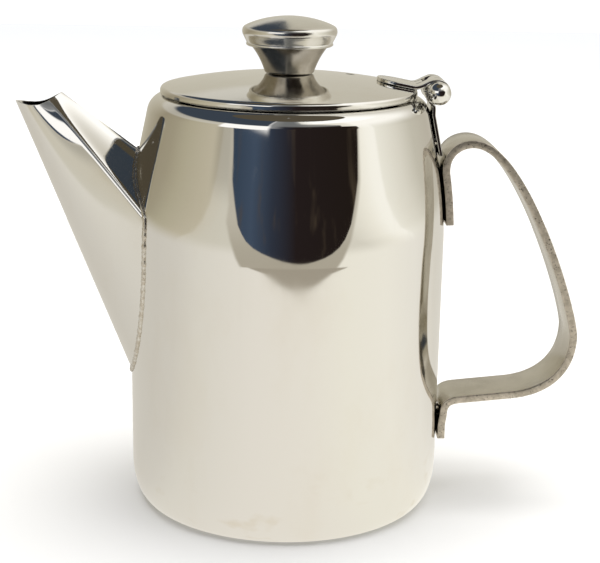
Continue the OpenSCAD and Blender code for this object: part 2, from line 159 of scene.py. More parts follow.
def skin(name, rings, loop=False, poles=True, inner_from=None):
    """A closed skin over rings of points, as one object.

    rings[i, j] is point j of ring i. Every ring is closed. With loop the last ring joins the
    first; otherwise each end closes on one middle point. Faces from ring inner_from on take the
    second material. The winding is turned over if the skin's signed volume comes out negative.
    """
    n, m = rings.shape[:2]
    points = rings.reshape(-1, 3)
    i, j = np.meshgrid(np.arange(n if loop else n - 1), np.arange(m), indexing="ij")
    k, l = (i + 1) % n, (j + 1) % m
    quads = np.stack([i * m + j, k * m + j, k * m + l, i * m + l], -1).reshape(-1, 4)
    quad_ring = i.reshape(-1)
    fans = np.zeros((0, 3), int)
    if not loop and poles:
        points = np.vstack([points, rings[0].mean(0), rings[-1].mean(0)])
        a = np.arange(m)
        b = (a + 1) % m
        first = np.stack([a, b, np.full(m, n * m)], -1)
        last = np.stack([(n - 1) * m + b, (n - 1) * m + a, np.full(m, n * m + 1)], -1)
        fans = np.vstack([first, last])
    if volume(points, [quads, fans]) < 0:
        quads, fans = quads[:, ::-1], fans[:, ::-1]
    mesh = bpy.data.meshes.new(name)
    mesh.vertices.add(len(points))
    mesh.vertices.foreach_set("co", points.astype(np.float32).ravel())
    loops = np.concatenate([quads.ravel(), fans.ravel()])
    sizes = np.concatenate([np.full(len(quads), 4), np.full(len(fans), 3)])
    mesh.loops.add(len(loops))
    mesh.loops.foreach_set("vertex_index", loops.astype(np.int32))
    mesh.polygons.add(len(sizes))
    mesh.polygons.foreach_set("loop_start", np.r_[0, np.cumsum(sizes)[:-1]].astype(np.int32))
    if inner_from is not None:
        index = np.concatenate([(quad_ring >= inner_from).astype(np.int32),
                                np.repeat([0, 1], m)[:len(fans)].astype(np.int32)])
        mesh.polygons.foreach_set("material_index", index)
    mesh.polygons.foreach_set("use_smooth", np.ones(len(sizes), bool))
    mesh.update(calc_edges=True)
    mesh.validate()
    piece = bpy.data.objects.new(name, mesh)
    bpy.context.scene.collection.objects.link(piece)
    return piece


def turn(name, profile, sides, axis="z", centre=(0, 0, 0), loop=False, inner_from=None):
    """A surface of revolution: the profile's (radius, height) points carried round an axis."""
    a = np.linspace(0, 2 * np.pi, sides, endpoint=False)
    r = profile[:, 0][:, None]
    h = np.repeat(profile[:, 1][:, None], sides, 1)
    x, y = r * np.cos(a), r * np.sin(a)
    rings = np.stack([x, y, h] if axis == "z" else [x, h, y], -1) + np.asarray(centre, float)
    return skin(name, rings, loop=loop, inner_from=inner_from)


def rounded_section(width, thick, corner, count=4):
    """Outline of a bar's section as (across, through) points: a rectangle with round corners."""
    across, through = width / 2 - corner, thick / 2 - corner
    return np.vstack([arc((sx * across, sy * through), corner, start, start + 90, count)
                      for sx, sy, start in ((1, 1, 0), (-1, 1, 90), (-1, -1, 180), (1, -1, 270))])


def strip(name, path, width, thick, corner, centre_y=0.0, half_width=None):
    """A flat bar whose middle follows a path in X and Z, with its width along Y.

    The section sits on the path's normal. half_width, if given, is the bar's half width at each
    point of the path, and narrows the section there, as at a rounded end.
    """
    d = np.gradient(path, axis=0)
    d /= np.linalg.norm(d, axis=1)[:, None]
    normal = np.stack([-d[:, 1], d[:, 0]], 1)
    section = rounded_section(width, thick, corner)
    scale = np.ones(len(path)) if half_width is None else half_width / (width / 2)
    across = section[:, 0][None, :] * scale[:, None]
    through = np.repeat(section[:, 1][None, :], len(path), 0)
    rings = np.stack([path[:, 0][:, None] + normal[:, 0][:, None] * through,
                      across + centre_y,
                      path[:, 1][:, None] + normal[:, 1][:, None] * through], -1)
    first = rings[:1].mean(1, keepdims=True) + (rings[:1] - rings[:1].mean(1, keepdims=True)) * 0.9
    last = rings[-1:].mean(1, keepdims=True) + (rings[-1:] - rings[-1:].mean(1, keepdims=True)) * 0.9
    back = d[:1, None, :] * corner
    ahead = d[-1:, None, :] * corner
    first = first - np.stack([back[..., 0], 0 * back[..., 0], back[..., 1]], -1) * 0.6
    last = last + np.stack([ahead[..., 0], 0 * ahead[..., 0], ahead[..., 1]], -1) * 0.6
    return skin(name, np.concatenate([first, rings, last]))


def sharpen(piece, degrees=38):
    """Shades edges steeper than an angle as sharp, so that flat faces stay flat."""
    piece.data.set_sharp_from_angle(angle=math.radians(degrees))
    return piece


def cut_away(piece, cutters):
    """Takes the cutters' shapes out of a piece for good."""
    for cutter in cutters:
        mod = piece.modifiers.new("cut", "BOOLEAN")
        mod.operation = "DIFFERENCE"
        mod.solver = "MANIFOLD"
        mod.object = cutter
    graph = bpy.context.evaluated_depsgraph_get()
    mesh = bpy.data.meshes.new_from_object(piece.evaluated_get(graph))
    piece.modifiers.clear()
    piece.data = mesh
    for cutter in cutters:
        bpy.data.objects.remove(cutter)
    return piece


def block(low, high):
    """A plain box between two corners, used only to cut with."""
    low, high = np.asarray(low, float), np.asarray(high, float)
    pick = np.array([[x, y, z] for z in (0, 1) for y in (0, 1) for x in (0, 1)])
    points = low + pick * (high - low)
    faces = [(0, 2, 3, 1), (4, 5, 7, 6), (0, 1, 5, 4), (2, 6, 7, 3), (0, 4, 6, 2), (1, 3, 7, 5)]
    mesh = bpy.data.meshes.new("cutter")
    mesh.from_pydata(points.tolist(), [], faces)
    piece = bpy.data.objects.new("cutter", mesh)
    bpy.context.scene.collection.objects.link(piece)
    return piece


def drill(x, y, low, high, radius):
    """A round upright cutter, used only to cut with."""
    return turn("cutter", np.array([[radius, low], [radius, high]]), 48, centre=(x, y, 0))


# ------------------------------------------------------------------ materials

class Shader:
    """Builds a material's node tree with short calls."""

    def __init__(self, name):
        self.material = bpy.data.materials.new(name)
        self.material.use_nodes = True
        self.tree = self.material.node_tree
        self.tree.nodes.clear()
        self.out = self.tree.nodes.new("ShaderNodeOutputMaterial")
        self.coords = self.tree.nodes.new("ShaderNodeTexCoord").outputs["Object"]

    def node(self, kind, inputs=None, **settings):
        """A new shader node with its sockets and settings given."""
        made = self.tree.nodes.new("ShaderNode" + kind)
        for key, value in settings.items():
            setattr(made, key, value)
        for key, value in (inputs or {}).items():
            self.feed(made.inputs[key], value)
        return made

    def feed(self, socket, value):
        """Links a socket to another, or sets its own value."""
        if isinstance(value, bpy.types.NodeSocket):
            self.tree.links.new(value, socket)
        else:
            socket.default_value = value

    def math(self, operation, a, b=0.0, c=0.0, clamp=False):
        """One step of arithmetic on up to three values."""
        made = self.tree.nodes.new("ShaderNodeMath")
        made.operation = operation
        made.use_clamp = clamp
        for socket, value in zip(made.inputs, (a, b, c)):
            self.feed(socket, value)
        return made.outputs[0]

    def ramp(self, value, low, high, to_low=0.0, to_high=1.0):
        """Maps a value smoothly from one range to another."""
        made = self.node("MapRange", {"Value": value, "From Min": low, "From Max": high,
                                      "To Min": to_low, "To Max": to_high})
        made.interpolation_type = "SMOOTHSTEP"
        return made.outputs["Result"]

    def stretched(self, scale, where=(0, 0, 0), turned=(0, 0, 0)):
        """Object coordinates, moved, turned and stretched."""
        made = self.node("Mapping", {"Vector": self.coords, "Scale": scale, "Location": where,
                                     "Rotation": turned})
        return made.outputs["Vector"]

    def noise(self, scale, vector=None, detail=4.0, rough=0.55, warp=0.0):
        made = self.node("TexNoise", {"Vector": vector or self.coords, "Scale": scale, "Detail": detail,
                                      "Roughness": rough, "Distortion": warp})
        return made.outputs["Fac"]

    def mix(self, factor, a, b, blend="MIX"):
        made = self.tree.nodes.new("ShaderNodeMix")
        made.data_type = "RGBA"
        made.blend_type = blend
        self.feed(made.inputs[0], factor)
        self.feed(made.inputs[6], a)
        self.feed(made.inputs[7], b)
        return made.outputs[2]

    def share(self, value, low, high):
        """How far a value is from low to high, from 0 to 1."""
        return self.math("DIVIDE", self.math("SUBTRACT", value, low), high - low, clamp=True)

    def curve(self, value, points):
        """A value looked up on a polyline of (from, to) points."""
        points = np.array(points, float)
        low, high = points.min(0), points.max(0)
        made = self.tree.nodes.new("ShaderNodeFloatCurve")
        line = made.mapping.curves[0]
        share = (points - low) / (high - low)
        for k in range(len(share) - 2):
            line.points.new(0.5, 0.5)
        for point, at in zip(line.points, share):
            point.location = at.tolist()
            point.handle_type = "VECTOR"
        made.mapping.update()
        self.feed(made.inputs["Value"], self.share(value, float(low[0]), float(high[0])))
        rise = self.math("MULTIPLY", made.outputs[0], float(high[1] - low[1]))
        return self.math("ADD", rise, float(low[1]))

    def tones(self, value, low, high, stops):
        """A value turned into a colour by stops of (value, red, green, blue)."""
        made = self.tree.nodes.new("ShaderNodeValToRGB")
        ramp = made.color_ramp
        for k in range(len(stops) - 2):
            ramp.elements.new(0.5)
        for k, (at, *color) in enumerate(stops):
            ramp.elements[k].position = (at - low) / (high - low)
            ramp.elements[k].color = (*color, 1)
        self.feed(made.inputs[0], self.share(value, low, high))
        return made.outputs[0]

    def bump(self, height, distance, strength=1.0, normal=None):
        inputs = {"Height": height, "Distance": distance, "Strength": strength}
        if normal is not None:
            inputs["Normal"] = normal
        return self.node("Bump", inputs).outputs["Normal"]

    def finish(self, color, rough, normal=None, metallic=1.0):
        """Ends the material in a principled shader and gives it back."""
        shader = self.node("BsdfPrincipled", {"Base Color": color, "Metallic": metallic,
                                              "Roughness": rough})
        if normal is not None:
            self.feed(shader.inputs["Normal"], normal)
        self.tree.links.new(shader.outputs[0], self.out.inputs["Surface"])
        return self.material


STEEL = (0.80, 0.788, 0.752, 1)
STEEL_WARM = (0.77, 0.735, 0.665, 1)


def polished_steel(name, tint=STEEL, shine=0.035, haze=0.05, ripple=0.000012, stains=False):
    """Mirror polished steel: a faint wavy surface, wiped smears and hairline scratches."""
    s = Shader(name)
    smear = s.noise(38.0, s.stretched((1, 1, 0.55)), detail=5.0, rough=0.6)
    smear_mask = s.ramp(smear, 0.46, 0.72)
    grain = s.noise(900.0, s.stretched((1, 1, 0.05)), detail=2.0)
    hair = s.noise(260.0, s.stretched((1, 1, 0.03), turned=(0.5, 0.2, 0)), detail=1.0)
    hair_mask = s.ramp(hair, 0.68, 0.73)
    rough = s.math("ADD", s.math("MULTIPLY", smear_mask, haze), shine)
    rough = s.math("ADD", rough, s.math("MULTIPLY", hair_mask, 0.05))
    color = s.mix(s.math("MULTIPLY", smear_mask, 0.35), tint, STEEL_WARM)
    if stains:
        spots = s.noise(55.0, s.stretched((1, 1, 1.6), where=(0.3, 0.1, 0.2)), detail=3.0)
        separate = s.node("SeparateXYZ", {"Vector": s.coords})
        low = s.ramp(separate.outputs["Z"], 0.030, 0.004)
        spot_mask = s.math("MULTIPLY", s.ramp(spots, 0.56, 0.70), low)
        color = s.mix(s.math("MULTIPLY", spot_mask, 0.28), color, (0.62, 0.52, 0.34, 1))
        rough = s.math("ADD", rough, s.math("MULTIPLY", spot_mask, 0.12))
    wave = s.noise(22.0, detail=1.0)
    height = s.math("ADD", wave, s.math("MULTIPLY", grain, 0.004))
    normal = s.bump(height, ripple * 10, strength=0.35)
    return s.finish(color, rough, normal)


def inside_steel(name):
    """The duller inside of the pot: spun rings, a soft haze and a light brown tea film."""
    s = Shader(name)
    separate = s.node("SeparateXYZ", {"Vector": s.coords})
    along = s.node("CombineXYZ", {"Z": s.math("MULTIPLY", separate.outputs["Z"], 700.0)})
    rings = s.noise(1.0, along.outputs[0])
    film = s.noise(24.0, detail=5.0)
    rough = s.ramp(film, 0.35, 0.75, 0.16, 0.34)
    color = s.mix(s.ramp(film, 0.45, 0.8, 0.05, 0.5), (0.72, 0.70, 0.66, 1),
                  (0.52, 0.42, 0.29, 1))
    return s.finish(color, rough, s.bump(rings, 0.00003, 0.4))


def bar_steel(name, half_w):
    """Rolled flat bar: satin faces with lengthwise grain, and rough sheared edges with dark pits."""
    s = Shader(name)
    separate = s.node("SeparateXYZ", {"Vector": s.coords})
    away = s.math("ABSOLUTE", separate.outputs["Y"])
    edge = s.ramp(away, half_w - 0.0006, half_w - 0.0002)
    grain = s.noise(420.0, s.stretched((0.12, 1, 0.12)), detail=3.0)
    cloud = s.noise(70.0, detail=4.0)
    pits = s.noise(1500.0, detail=2.0, rough=0.7)
    pit_mask = s.math("MULTIPLY", s.ramp(pits, 0.60, 0.68), edge)
    face = s.mix(s.ramp(cloud, 0.35, 0.7), (0.60, 0.57, 0.50, 1), (0.52, 0.49, 0.42, 1))
    side = s.mix(s.ramp(s.noise(600.0), 0.35, 0.65), (0.66, 0.60, 0.52, 1), (0.50, 0.45, 0.38, 1))
    color = s.mix(pit_mask, s.mix(edge, face, side), (0.10, 0.085, 0.07, 1))
    rough = s.math("ADD", s.ramp(cloud, 0.3, 0.75, 0.16, 0.26), s.math("MULTIPLY", edge, 0.26))
    height = s.math("ADD", s.math("MULTIPLY", grain, 0.25),
                    s.math("MULTIPLY", s.math("MULTIPLY", pits, -1.0), edge))
    return s.finish(color, rough, s.bump(height, 0.00012, 0.5))


def weld_steel(name):
    """Weld metal: ground bright on its crests, dull between them, with small dark pits."""
    s = Shader(name)
    lumps = s.noise(900.0, detail=4.0, rough=0.65)
    specks = s.noise(1400.0, s.stretched((1, 1, 1), where=(0.4, 0, 0)), detail=1.0)
    metal = s.mix(s.ramp(lumps, 0.4, 0.7), (0.60, 0.55, 0.47, 1), (0.78, 0.77, 0.73, 1))
    color = s.mix(s.ramp(specks, 0.70, 0.78), metal, (0.16, 0.12, 0.09, 1))
    return s.finish(color, s.ramp(lumps, 0.3, 0.7, 0.36, 0.16), s.bump(lumps, 0.00018, 0.45))


def turned_steel(name, tint, shine, lines):
    """Steel polished on a lathe: fine rings round the axis, catching light, over a soft haze."""
    s = Shader(name)
    separate = s.node("SeparateXYZ", {"Vector": s.coords})
    out = s.math("SQRT", s.math("ADD", s.math("POWER", separate.outputs["X"], 2.0),
                                s.math("POWER", separate.outputs["Y"], 2.0)))
    across = s.node("CombineXYZ", {"X": s.math("MULTIPLY", out, lines),
                                   "Y": s.math("MULTIPLY", separate.outputs["Z"], lines)}).outputs[0]
    rings = s.noise(1.0, across, detail=3.0)
    haze = s.noise(120.0, detail=4.0)
    rough = s.math("ADD", s.ramp(haze, 0.4, 0.75, 0.0, 0.09), shine)
    color = s.mix(s.ramp(haze, 0.4, 0.8, 0.0, 0.4), tint, STEEL_WARM)
    return s.finish(color, rough, s.bump(rings, 0.00001, 0.5))


body_steel = polished_steel("body_mirror", stains=True)
spout_steel = polished_steel("spout_mirror", shine=0.05, haze=0.07)
lid_steel = turned_steel("lid_mirror", (0.79, 0.775, 0.735, 1), 0.05, 900.0)
pot_inside = inside_steel("pot_inside")
bar_metal = bar_steel("handle_bar", BAR_W / 2)
weld_metal = weld_steel("weld_bead")
hinge_metal = polished_steel("hinge_steel", shine=0.07, haze=0.08)
ball_metal = polished_steel("ball_steel", shine=0.03, haze=0.03)
# The neck's dark tint is painted shade: a dark base colour stands in for the dark room that its flare
# reflects.
neck_painted_shade_steel = turned_steel("knob_neck_painted_shade", (0.34, 0.31, 0.26, 1), 0.17, 2600.0)
cap_metal = turned_steel("knob_cap_steel", (0.76, 0.745, 0.70, 1), 0.15, 2200.0)
screw_metal = turned_steel("screw_steel", (0.70, 0.69, 0.66, 1), 0.18, 3000.0)


def dress(piece, body, slot, nodes, *materials):
    """Gives a piece its materials and the body it rides on, and hides the nodes it stands for; its slot
    is not used.
    """
    piece.data.materials.clear()
    for material in materials:
        piece.data.materials.append(material)
    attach(piece, body)
    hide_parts(*nodes)
    return piece


# ------------------------------------------------------------------ body

def body_face(inset):
    """One face of the body's sheet, inset: base, corner, wall, bend, cone, roll and lip."""
    end = math.radians(ROLL_END)
    lean = math.degrees(CONE_A)
    roll_end = ROLL_C + (ROLL_R - inset) * np.array([math.cos(end), math.sin(end)])
    lip_end = roll_end + LIP_RUN * np.array([-math.sin(end), math.cos(end)])
    floor_r = BODY_R - BASE_CORNER
    a = np.radians(np.linspace(-90, 0, 28))[:-1]
    corner = np.stack([floor_r + (BASE_CORNER - inset) * np.cos(a),
                       BASE_CORNER_H + (BASE_CORNER_H - inset) * np.sin(a)], 1)
    return np.vstack([
        np.stack([np.linspace(0.5 * MM, floor_r, 14)[:-1], np.full(13, inset)], 1),
        corner,
        np.stack([np.full(44, BODY_R - inset), np.linspace(BASE_CORNER_H, STRAIGHT_H, 45)[:-1]], 1),
        arc(BEND_C, BEND_R - inset, 0, lean, 40),
        arc(ROLL_C, ROLL_R - inset, lean, ROLL_END, 40)[:-1],
        roll_end[None], lip_end[None]])


def strainer():
    """Cutters for the strainer: rows of round holes set in a hexagon pattern inside the root."""
    pitch, hole = 7 * MM, 4 * MM
    past = 1 * MM
    cutters = []
    for i in range(1, int((ROOT_TOP - ROOT_BOTTOM) / pitch) + 1):
        z = ROOT_TOP - i * pitch
        room = root_half_w((ROOT_TOP - z) / (ROOT_TOP - ROOT_BOTTOM)) - SPOUT_WALL - hole
        for j in range(-2, 3):
            y = (j + (i % 2) / 2) * pitch
            if abs(y) < room and z > ROOT_BOTTOM + 1.5 * pitch:
                cutter = turn("cutter", np.array([[hole / 2, 0], [hole / 2, BODY_R + past]]), 40)
                to_spout = Matrix.Rotation(math.radians(-90), 4, "Y")
                cutter.data.transform(Matrix.Translation((0, y, z)) @ to_spout)
                cutters.append(cutter)
    return cutters


def body_shell():
    """The drawn body: its outer and inner faces joined round the lip's edge."""
    outer = body_face(0)
    inner = body_face(SHEET)[::-1]
    profile = np.vstack([outer, inner])
    piece = cut_away(turn("teapot_body", profile, 320, inner_from=len(outer)), strainer())
    return dress(sharpen(piece, 50), "pot", "mirror_steel", ["body_shell"], body_steel, pot_inside)


# ------------------------------------------------------------------ spout

ROOT_TOP, ROOT_BOTTOM = CREST_H - 18.5 * MM, spout_low.z
ROOT_W = spout_high.y - spout_low.y
WIDE_AT = 0.27
TIP_LEN = 15 * MM
TIP_RISE = 2.8 * MM
TIP_H = spout_high.z - TIP_RISE
TIP_W = 10.5 * MM
TIP_DIP = 2.2 * MM
SPOUT_WALL = 0.9 * MM
SPOUT_REACH = -spout_low.x


def root_half_w(s):
    """Half the root's width at a share s of its height: a cusp at the top, a full round below."""
    upper = np.sin(np.pi / 2 * np.clip(s / WIDE_AT, 0, 1)) ** 1.6
    lower = np.clip(1 - np.clip((s - WIDE_AT) / (1 - WIDE_AT), 0, 1) ** 2.4, 0, 1) ** 0.42
    return ROOT_W / 2 * np.where(s < WIDE_AT, upper, lower)


def spout_shares(count):
    """Shares and sides of a ring's points: down one side and up the other, closer at both ends."""
    s = (1 - np.cos(np.linspace(0, np.pi, count + 1))) / 2
    return np.r_[s, s[-2:0:-1]], np.r_[np.ones(count + 1), -np.ones(count - 1)]


def root_ring(s, side, inset):
    """The root's outline on the body's outer face."""
    top, bottom = ROOT_TOP - 3 * inset, ROOT_BOTTOM + 1.3 * inset
    z = top - (top - bottom) * s
    y = side * root_half_w(s) * (1 - 2 * inset / ROOT_W)
    return np.stack([-np.sqrt(body_at(z) ** 2 - y ** 2) - SEAT_GAP, y, z], -1)


def tip_ring(s, side, inset):
    """The outline of the tip's cut: a rounded slot whose middle dips."""
    f = s * (1 - 2 * inset / TIP_LEN) + inset / TIP_LEN
    y = side * (TIP_W / 2 - inset) * np.abs(np.sin(np.pi * s)) ** 0.72
    x = -SPOUT_REACH + (1 - f) * TIP_LEN
    z = TIP_H + (1 - f) * TIP_RISE - TIP_DIP * np.abs(np.sin(np.pi * f)) ** 1.2
    return np.stack([x, y, z], -1)


def spout():
    """Straight lines from each point of the root to its point of the tip, outside and inside."""
    s, side = spout_shares(96)
    t = np.linspace(0, 1, 60)[:, None, None]
    outer = root_ring(s, side, 0) * (1 - t) + tip_ring(s, side, 0) * t
    inner = root_ring(s, side, SPOUT_WALL) * (1 - t) + tip_ring(s, side, SPOUT_WALL) * t
    middle, half = (outer[-1] + inner[-1]) / 2, (outer[-1] - inner[-1]) / 2
    ahead = outer[-1] - outer[-2]
    ahead /= np.linalg.norm(ahead, axis=1)[:, None]
    a = np.radians(np.linspace(0, 180, 9)[1:-1])[:, None, None]
    lip = middle + half * np.cos(a) + ahead * SPOUT_WALL / 2 * np.sin(a)
    rings = np.concatenate([outer, lip - ahead * SPOUT_WALL / 2, inner[::-1]])
    piece = skin("spout_cone", rings, loop=True)
    return dress(sharpen(piece, 60), "pot", "mirror_steel", ["spout"], spout_steel)


def spout_weld():
    """A bead round the root: a tube whose radius swells and shrinks with each weld puddle."""
    s, side = spout_shares(170)
    path = root_ring(s, side, 0)
    along = np.roll(path, -1, 0) - np.roll(path, 1, 0)
    along /= np.linalg.norm(along, axis=1)[:, None]
    out = path * [1, 1, 0]
    out /= np.linalg.norm(out, axis=1)[:, None]
    across = np.cross(along, out)
    across /= np.linalg.norm(across, axis=1)[:, None]
    up = np.cross(across, along)
    run = np.r_[0, np.cumsum(np.linalg.norm(np.diff(path, axis=0), axis=1))]
    rng = np.random.default_rng(4)
    lumps = sum(rng.uniform(0.4, 1) * np.sin(run / MM * f + rng.uniform(0, 6))
                for f in (1.3, 2.1, 3.4, 4.7))
    bead_r = 0.8 * MM
    radius = bead_r * (1 + 0.07 * lumps)
    a = np.linspace(0, 2 * np.pi, 14, endpoint=False)
    c, h = np.cos(a)[None, :, None], np.sin(a)[None, :, None]
    rings = path[:, None] + radius[:, None, None] * (c * across[:, None] * 1.15 + h * up[:, None] * 0.8)
    piece = skin("spout_weld_bead", rings, loop=True)
    return dress(piece, "pot", "weld_metal", ["spout_weld"], weld_metal)


# ------------------------------------------------------------------ handle

def handle_path():
    """Middle line of the bar in X and Z: tab, arch, long back, bulge, lower grip and tab."""
    half = BAR_T / 2
    out = half + SEAT_GAP
    tab_foot, tab_len = CREST_H - 41.4 * MM, 17 * MM
    grip = 34 * MM
    top = np.array([BODY_R + 8 * MM, handle_high.z - half])
    bulge = np.array([handle_high.x - half, 56 * MM])
    start = np.array([BODY_R + 24 * MM, grip + 1.6 * MM])
    end = np.array([BODY_R + 8 * MM, grip])
    low_tab = np.array([BODY_R + out + 0.5 * MM, grip - 5.5 * MM])
    z = np.linspace(tab_foot, tab_foot + tab_len, 12)
    tab = np.stack([body_at(z) + out, z], 1)
    points = np.vstack([
        tab,
        bezier(tab[-1], tab[-1] + [-0.7 * MM, 6.5 * MM], top - [4.8 * MM, 0], top, 24)[1:],
        bezier(top, top + [17 * MM, 0], bulge + [0, 8 * MM], bulge, 60)[1:],
        bezier(bulge, bulge - [0, 12 * MM], start + [13 * MM, 1.1 * MM], start, 40)[1:],
        end[None],
        bezier(end, end - [4.6 * MM, 0.4 * MM], low_tab + [0, 4 * MM], low_tab, 20)[1:],
        [[BODY_R + out, grip - 9 * MM], [BODY_R + out, handle_low.z]]])
    return even(points, 0.9 * MM)


def handle():
    """The flat bar, bent on edge along its path, with softened corners."""
    piece = strip("handle_bar_loop", handle_path(), BAR_W, BAR_T, 0.35 * MM)
    return dress(sharpen(piece, 50), "pot", "satin_steel", ["handle"], bar_metal)


# ------------------------------------------------------------------ hinge

ROLL_MID = KNUCKLE_R - LEAF_T / 2


def bracket():
    """The fixed leaf: up the shoulder and straight up, with its middle part rolled round the pin."""
    leave = CREST_H - 5.5 * MM
    z = np.linspace(bracket_low.z, leave, 14)
    out = LEAF_T / 2 + SEAT_GAP
    along = np.stack([body_at(z) + out, z], 1)
    side_x = float(body_at(leave)) + out
    top = PIN_Z - KNUCKLE_R - KNUCKLE_GAP
    foot = np.array([side_x, top - 1 * MM])
    join = arc((PIN_X, PIN_Z), ROLL_MID, 215, -60, 60)
    bend = bezier(foot, foot + [0, 1.2 * MM], join[0] + [0.4 * MM, -0.7 * MM], join[0], 8)
    path = np.vstack([along, foot[None], bend[1:], join[1:]])
    piece = strip("hinge_fixed_leaf", even(path, 0.45 * MM), LEAF_W, LEAF_T, 0.3 * MM)
    far = 20 * MM
    piece = cut_away(piece, [
        block((PIN_X - far, -far, top), (PIN_X + far, MID_Y0, top + far)),
        block((PIN_X - far, MID_Y1, top), (PIN_X + far, far, top + far))])
    return dress(sharpen(piece), "pot", "hinge_steel", ["hinge_bracket"], hinge_metal)


def lid_leaf():
    """The lid's leaf: down the dome from its round end, then up and rolled over the pin."""
    end_x, lift_x = PIN_X - 19 * MM, LID_R - 1.5 * MM
    over = LEAF_T / 2 + SEAT_GAP
    x = np.linspace(end_x, lift_x, 10)
    dome = np.stack([x, dome_at(x) + over], 1)
    top = np.array([PIN_X, PIN_Z + ROLL_MID])
    rise = bezier(dome[-1], dome[-1] + [3 * MM, -0.3 * MM], top - [3.5 * MM, 0], top, 24)
    curl = arc((PIN_X, PIN_Z), ROLL_MID, 90, -172, 44)
    path = even(np.vstack([dome, rise[1:], curl[1:]]), 0.4 * MM)
    corner = LEAF_W * 0.42
    from_end = np.r_[0, np.cumsum(np.linalg.norm(np.diff(path, axis=0), axis=1))]
    short = np.clip(corner - from_end, 0, None)
    half = LEAF_W / 2 - corner + np.sqrt(np.clip(corner ** 2 - short ** 2, 0, None))
    piece = strip("hinge_lid_leaf", path, LEAF_W, LEAF_T, 0.3 * MM, half_width=half)
    notch = PIN_X - KNUCKLE_R - KNUCKLE_GAP
    room = 14 * MM
    low, high, far = PIN_Z - room, PIN_Z + room, PIN_X + room
    slit, slit_len = 0.6 * MM, 2.2 * MM
    y0, y1 = MID_Y0 - KNUCKLE_GAP, MID_Y1 + KNUCKLE_GAP
    piece = cut_away(piece, [
        block((notch, y0, low), (far, y1, high)),
        block((notch - slit_len, y0, low), (far, y0 + slit, high)),
        block((notch - slit_len, y1 - slit, low), (far, y1, high))])
    return dress(sharpen(piece), "lid", "hinge_steel", ["lid_leaf"], hinge_metal)


def hinge_pin():
    """The pin: a plain rod with softened ends."""
    half = pin_high.y
    soft = 0.4 * MM
    profile = np.array([[TINY_R, -half], [PIN_R - soft, -half], [PIN_R, -half + soft],
                        [PIN_R, half - soft], [PIN_R - soft, half], [TINY_R, half]])
    piece = turn("hinge_pin_rod", profile, 48, axis="y", centre=(PIN_X, 0, PIN_Z))
    return dress(sharpen(piece), "pot", "hinge_steel", ["hinge_pin"], hinge_metal)


def pin_balls():
    """A ball on each end of the pin: a half circle turned about the pin, flat where it meets it."""
    radius = (ball_high.z - ball_low.z) / 2
    flat = math.degrees(math.asin(PIN_R / radius))
    half_circle = arc((0, 0), radius, -90 + 0.5, 90 - flat, 48)
    for side, name in ((-1, "hinge_ball_near"), (1, "hinge_ball_far")):
        centre_y = side * (ball_high.y - radius)
        profile = np.stack([half_circle[:, 0], -side * half_circle[:, 1] + centre_y], 1)
        piece = turn(name, profile, 96, axis="y", centre=(PIN_X, 0, PIN_Z))
        dress(sharpen(piece), "pot", "hinge_steel", ["pin_balls"], ball_metal)


# ------------------------------------------------------------------ lid and knob

def lid_shell():
    """The lid: a shallow dome, a small round edge, a turned down rim, and the same inside."""
    soft = 1.3 * MM
    hole = 2.3 * MM

    def face(inset):
        edge = math.degrees(math.acos((LID_R - soft) / (DOME_R - soft)))
        centre = (LID_R - soft, DOME_C + math.sqrt((DOME_R - soft) ** 2 - (LID_R - soft) ** 2))
        start = math.degrees(math.acos(hole / (DOME_R - inset)))
        dome = arc((0, DOME_C), DOME_R - inset, start, edge, 70)
        corner = arc(centre, max(soft - inset, 0.02 * MM), edge, 0, 12)[1:]
        rim = np.stack([np.full(6, LID_R - inset), np.linspace(centre[1], LID_FOOT, 7)[1:]], 1)
        return np.vstack([dome, corner, rim])

    bottom = arc((LID_R - SHEET / 2, LID_FOOT + SHEET / 2), SHEET / 2, 0, -180, 9)
    outer, inner = face(0)[:-1], face(SHEET)[:-1][::-1]
    piece = turn("lid_dome", np.vstack([outer, bottom, inner]), 320, loop=True)
    vent_out, vent_turn, vent_r = 22 * MM, math.radians(22), 1.5 * MM
    vent = drill(vent_out * math.cos(vent_turn), vent_out * math.sin(vent_turn),
                 LID_FOOT, LID_APEX + 5 * MM, vent_r)
    piece = cut_away(piece, [vent])
    return dress(sharpen(piece), "lid", "lid_steel", ["lid_shell"], lid_steel)


CRIMP_R = cap_high.x - 1.35 * MM
NECK_H = 9.1 * MM
CRIMP_Z = neck_low.z + NECK_H
CAP_R = 15.5 * MM
FOOT_R = 8 * MM
NECK_TOP_R = CAP_R - 2.6 * MM


def knob_neck():
    """The neck: a small round foot, a steep waist and a trumpet flare up to the crimp."""
    foot = neck_low.z
    flare = bezier((FOOT_R, foot + 0.35 * MM), (FOOT_R + 0.9 * MM, foot + 3.2 * MM),
                   (NECK_TOP_R - 2.4 * MM, foot + 6.5 * MM), (NECK_TOP_R, CRIMP_Z), 40)
    middle, edge = 0.3 * MM, CRIMP_Z + SHEET
    outer = np.vstack([[[middle, foot]], [[FOOT_R - 0.35 * MM, foot]], flare, [[NECK_TOP_R, edge]]])
    inner = np.vstack([[[NECK_TOP_R - SHEET, edge]], (flare - [SHEET, 0])[::-1][:-3],
                       [[FOOT_R - SHEET, foot + SHEET]], [[middle, foot + SHEET]]])
    piece = turn("knob_neck_flare", np.vstack([outer, inner]), 128)
    # The neck takes the steel whose dark tint is painted shade.
    return dress(sharpen(piece), "lid", "knob_steel", ["knob_neck", "knob_nut"], neck_painted_shade_steel)


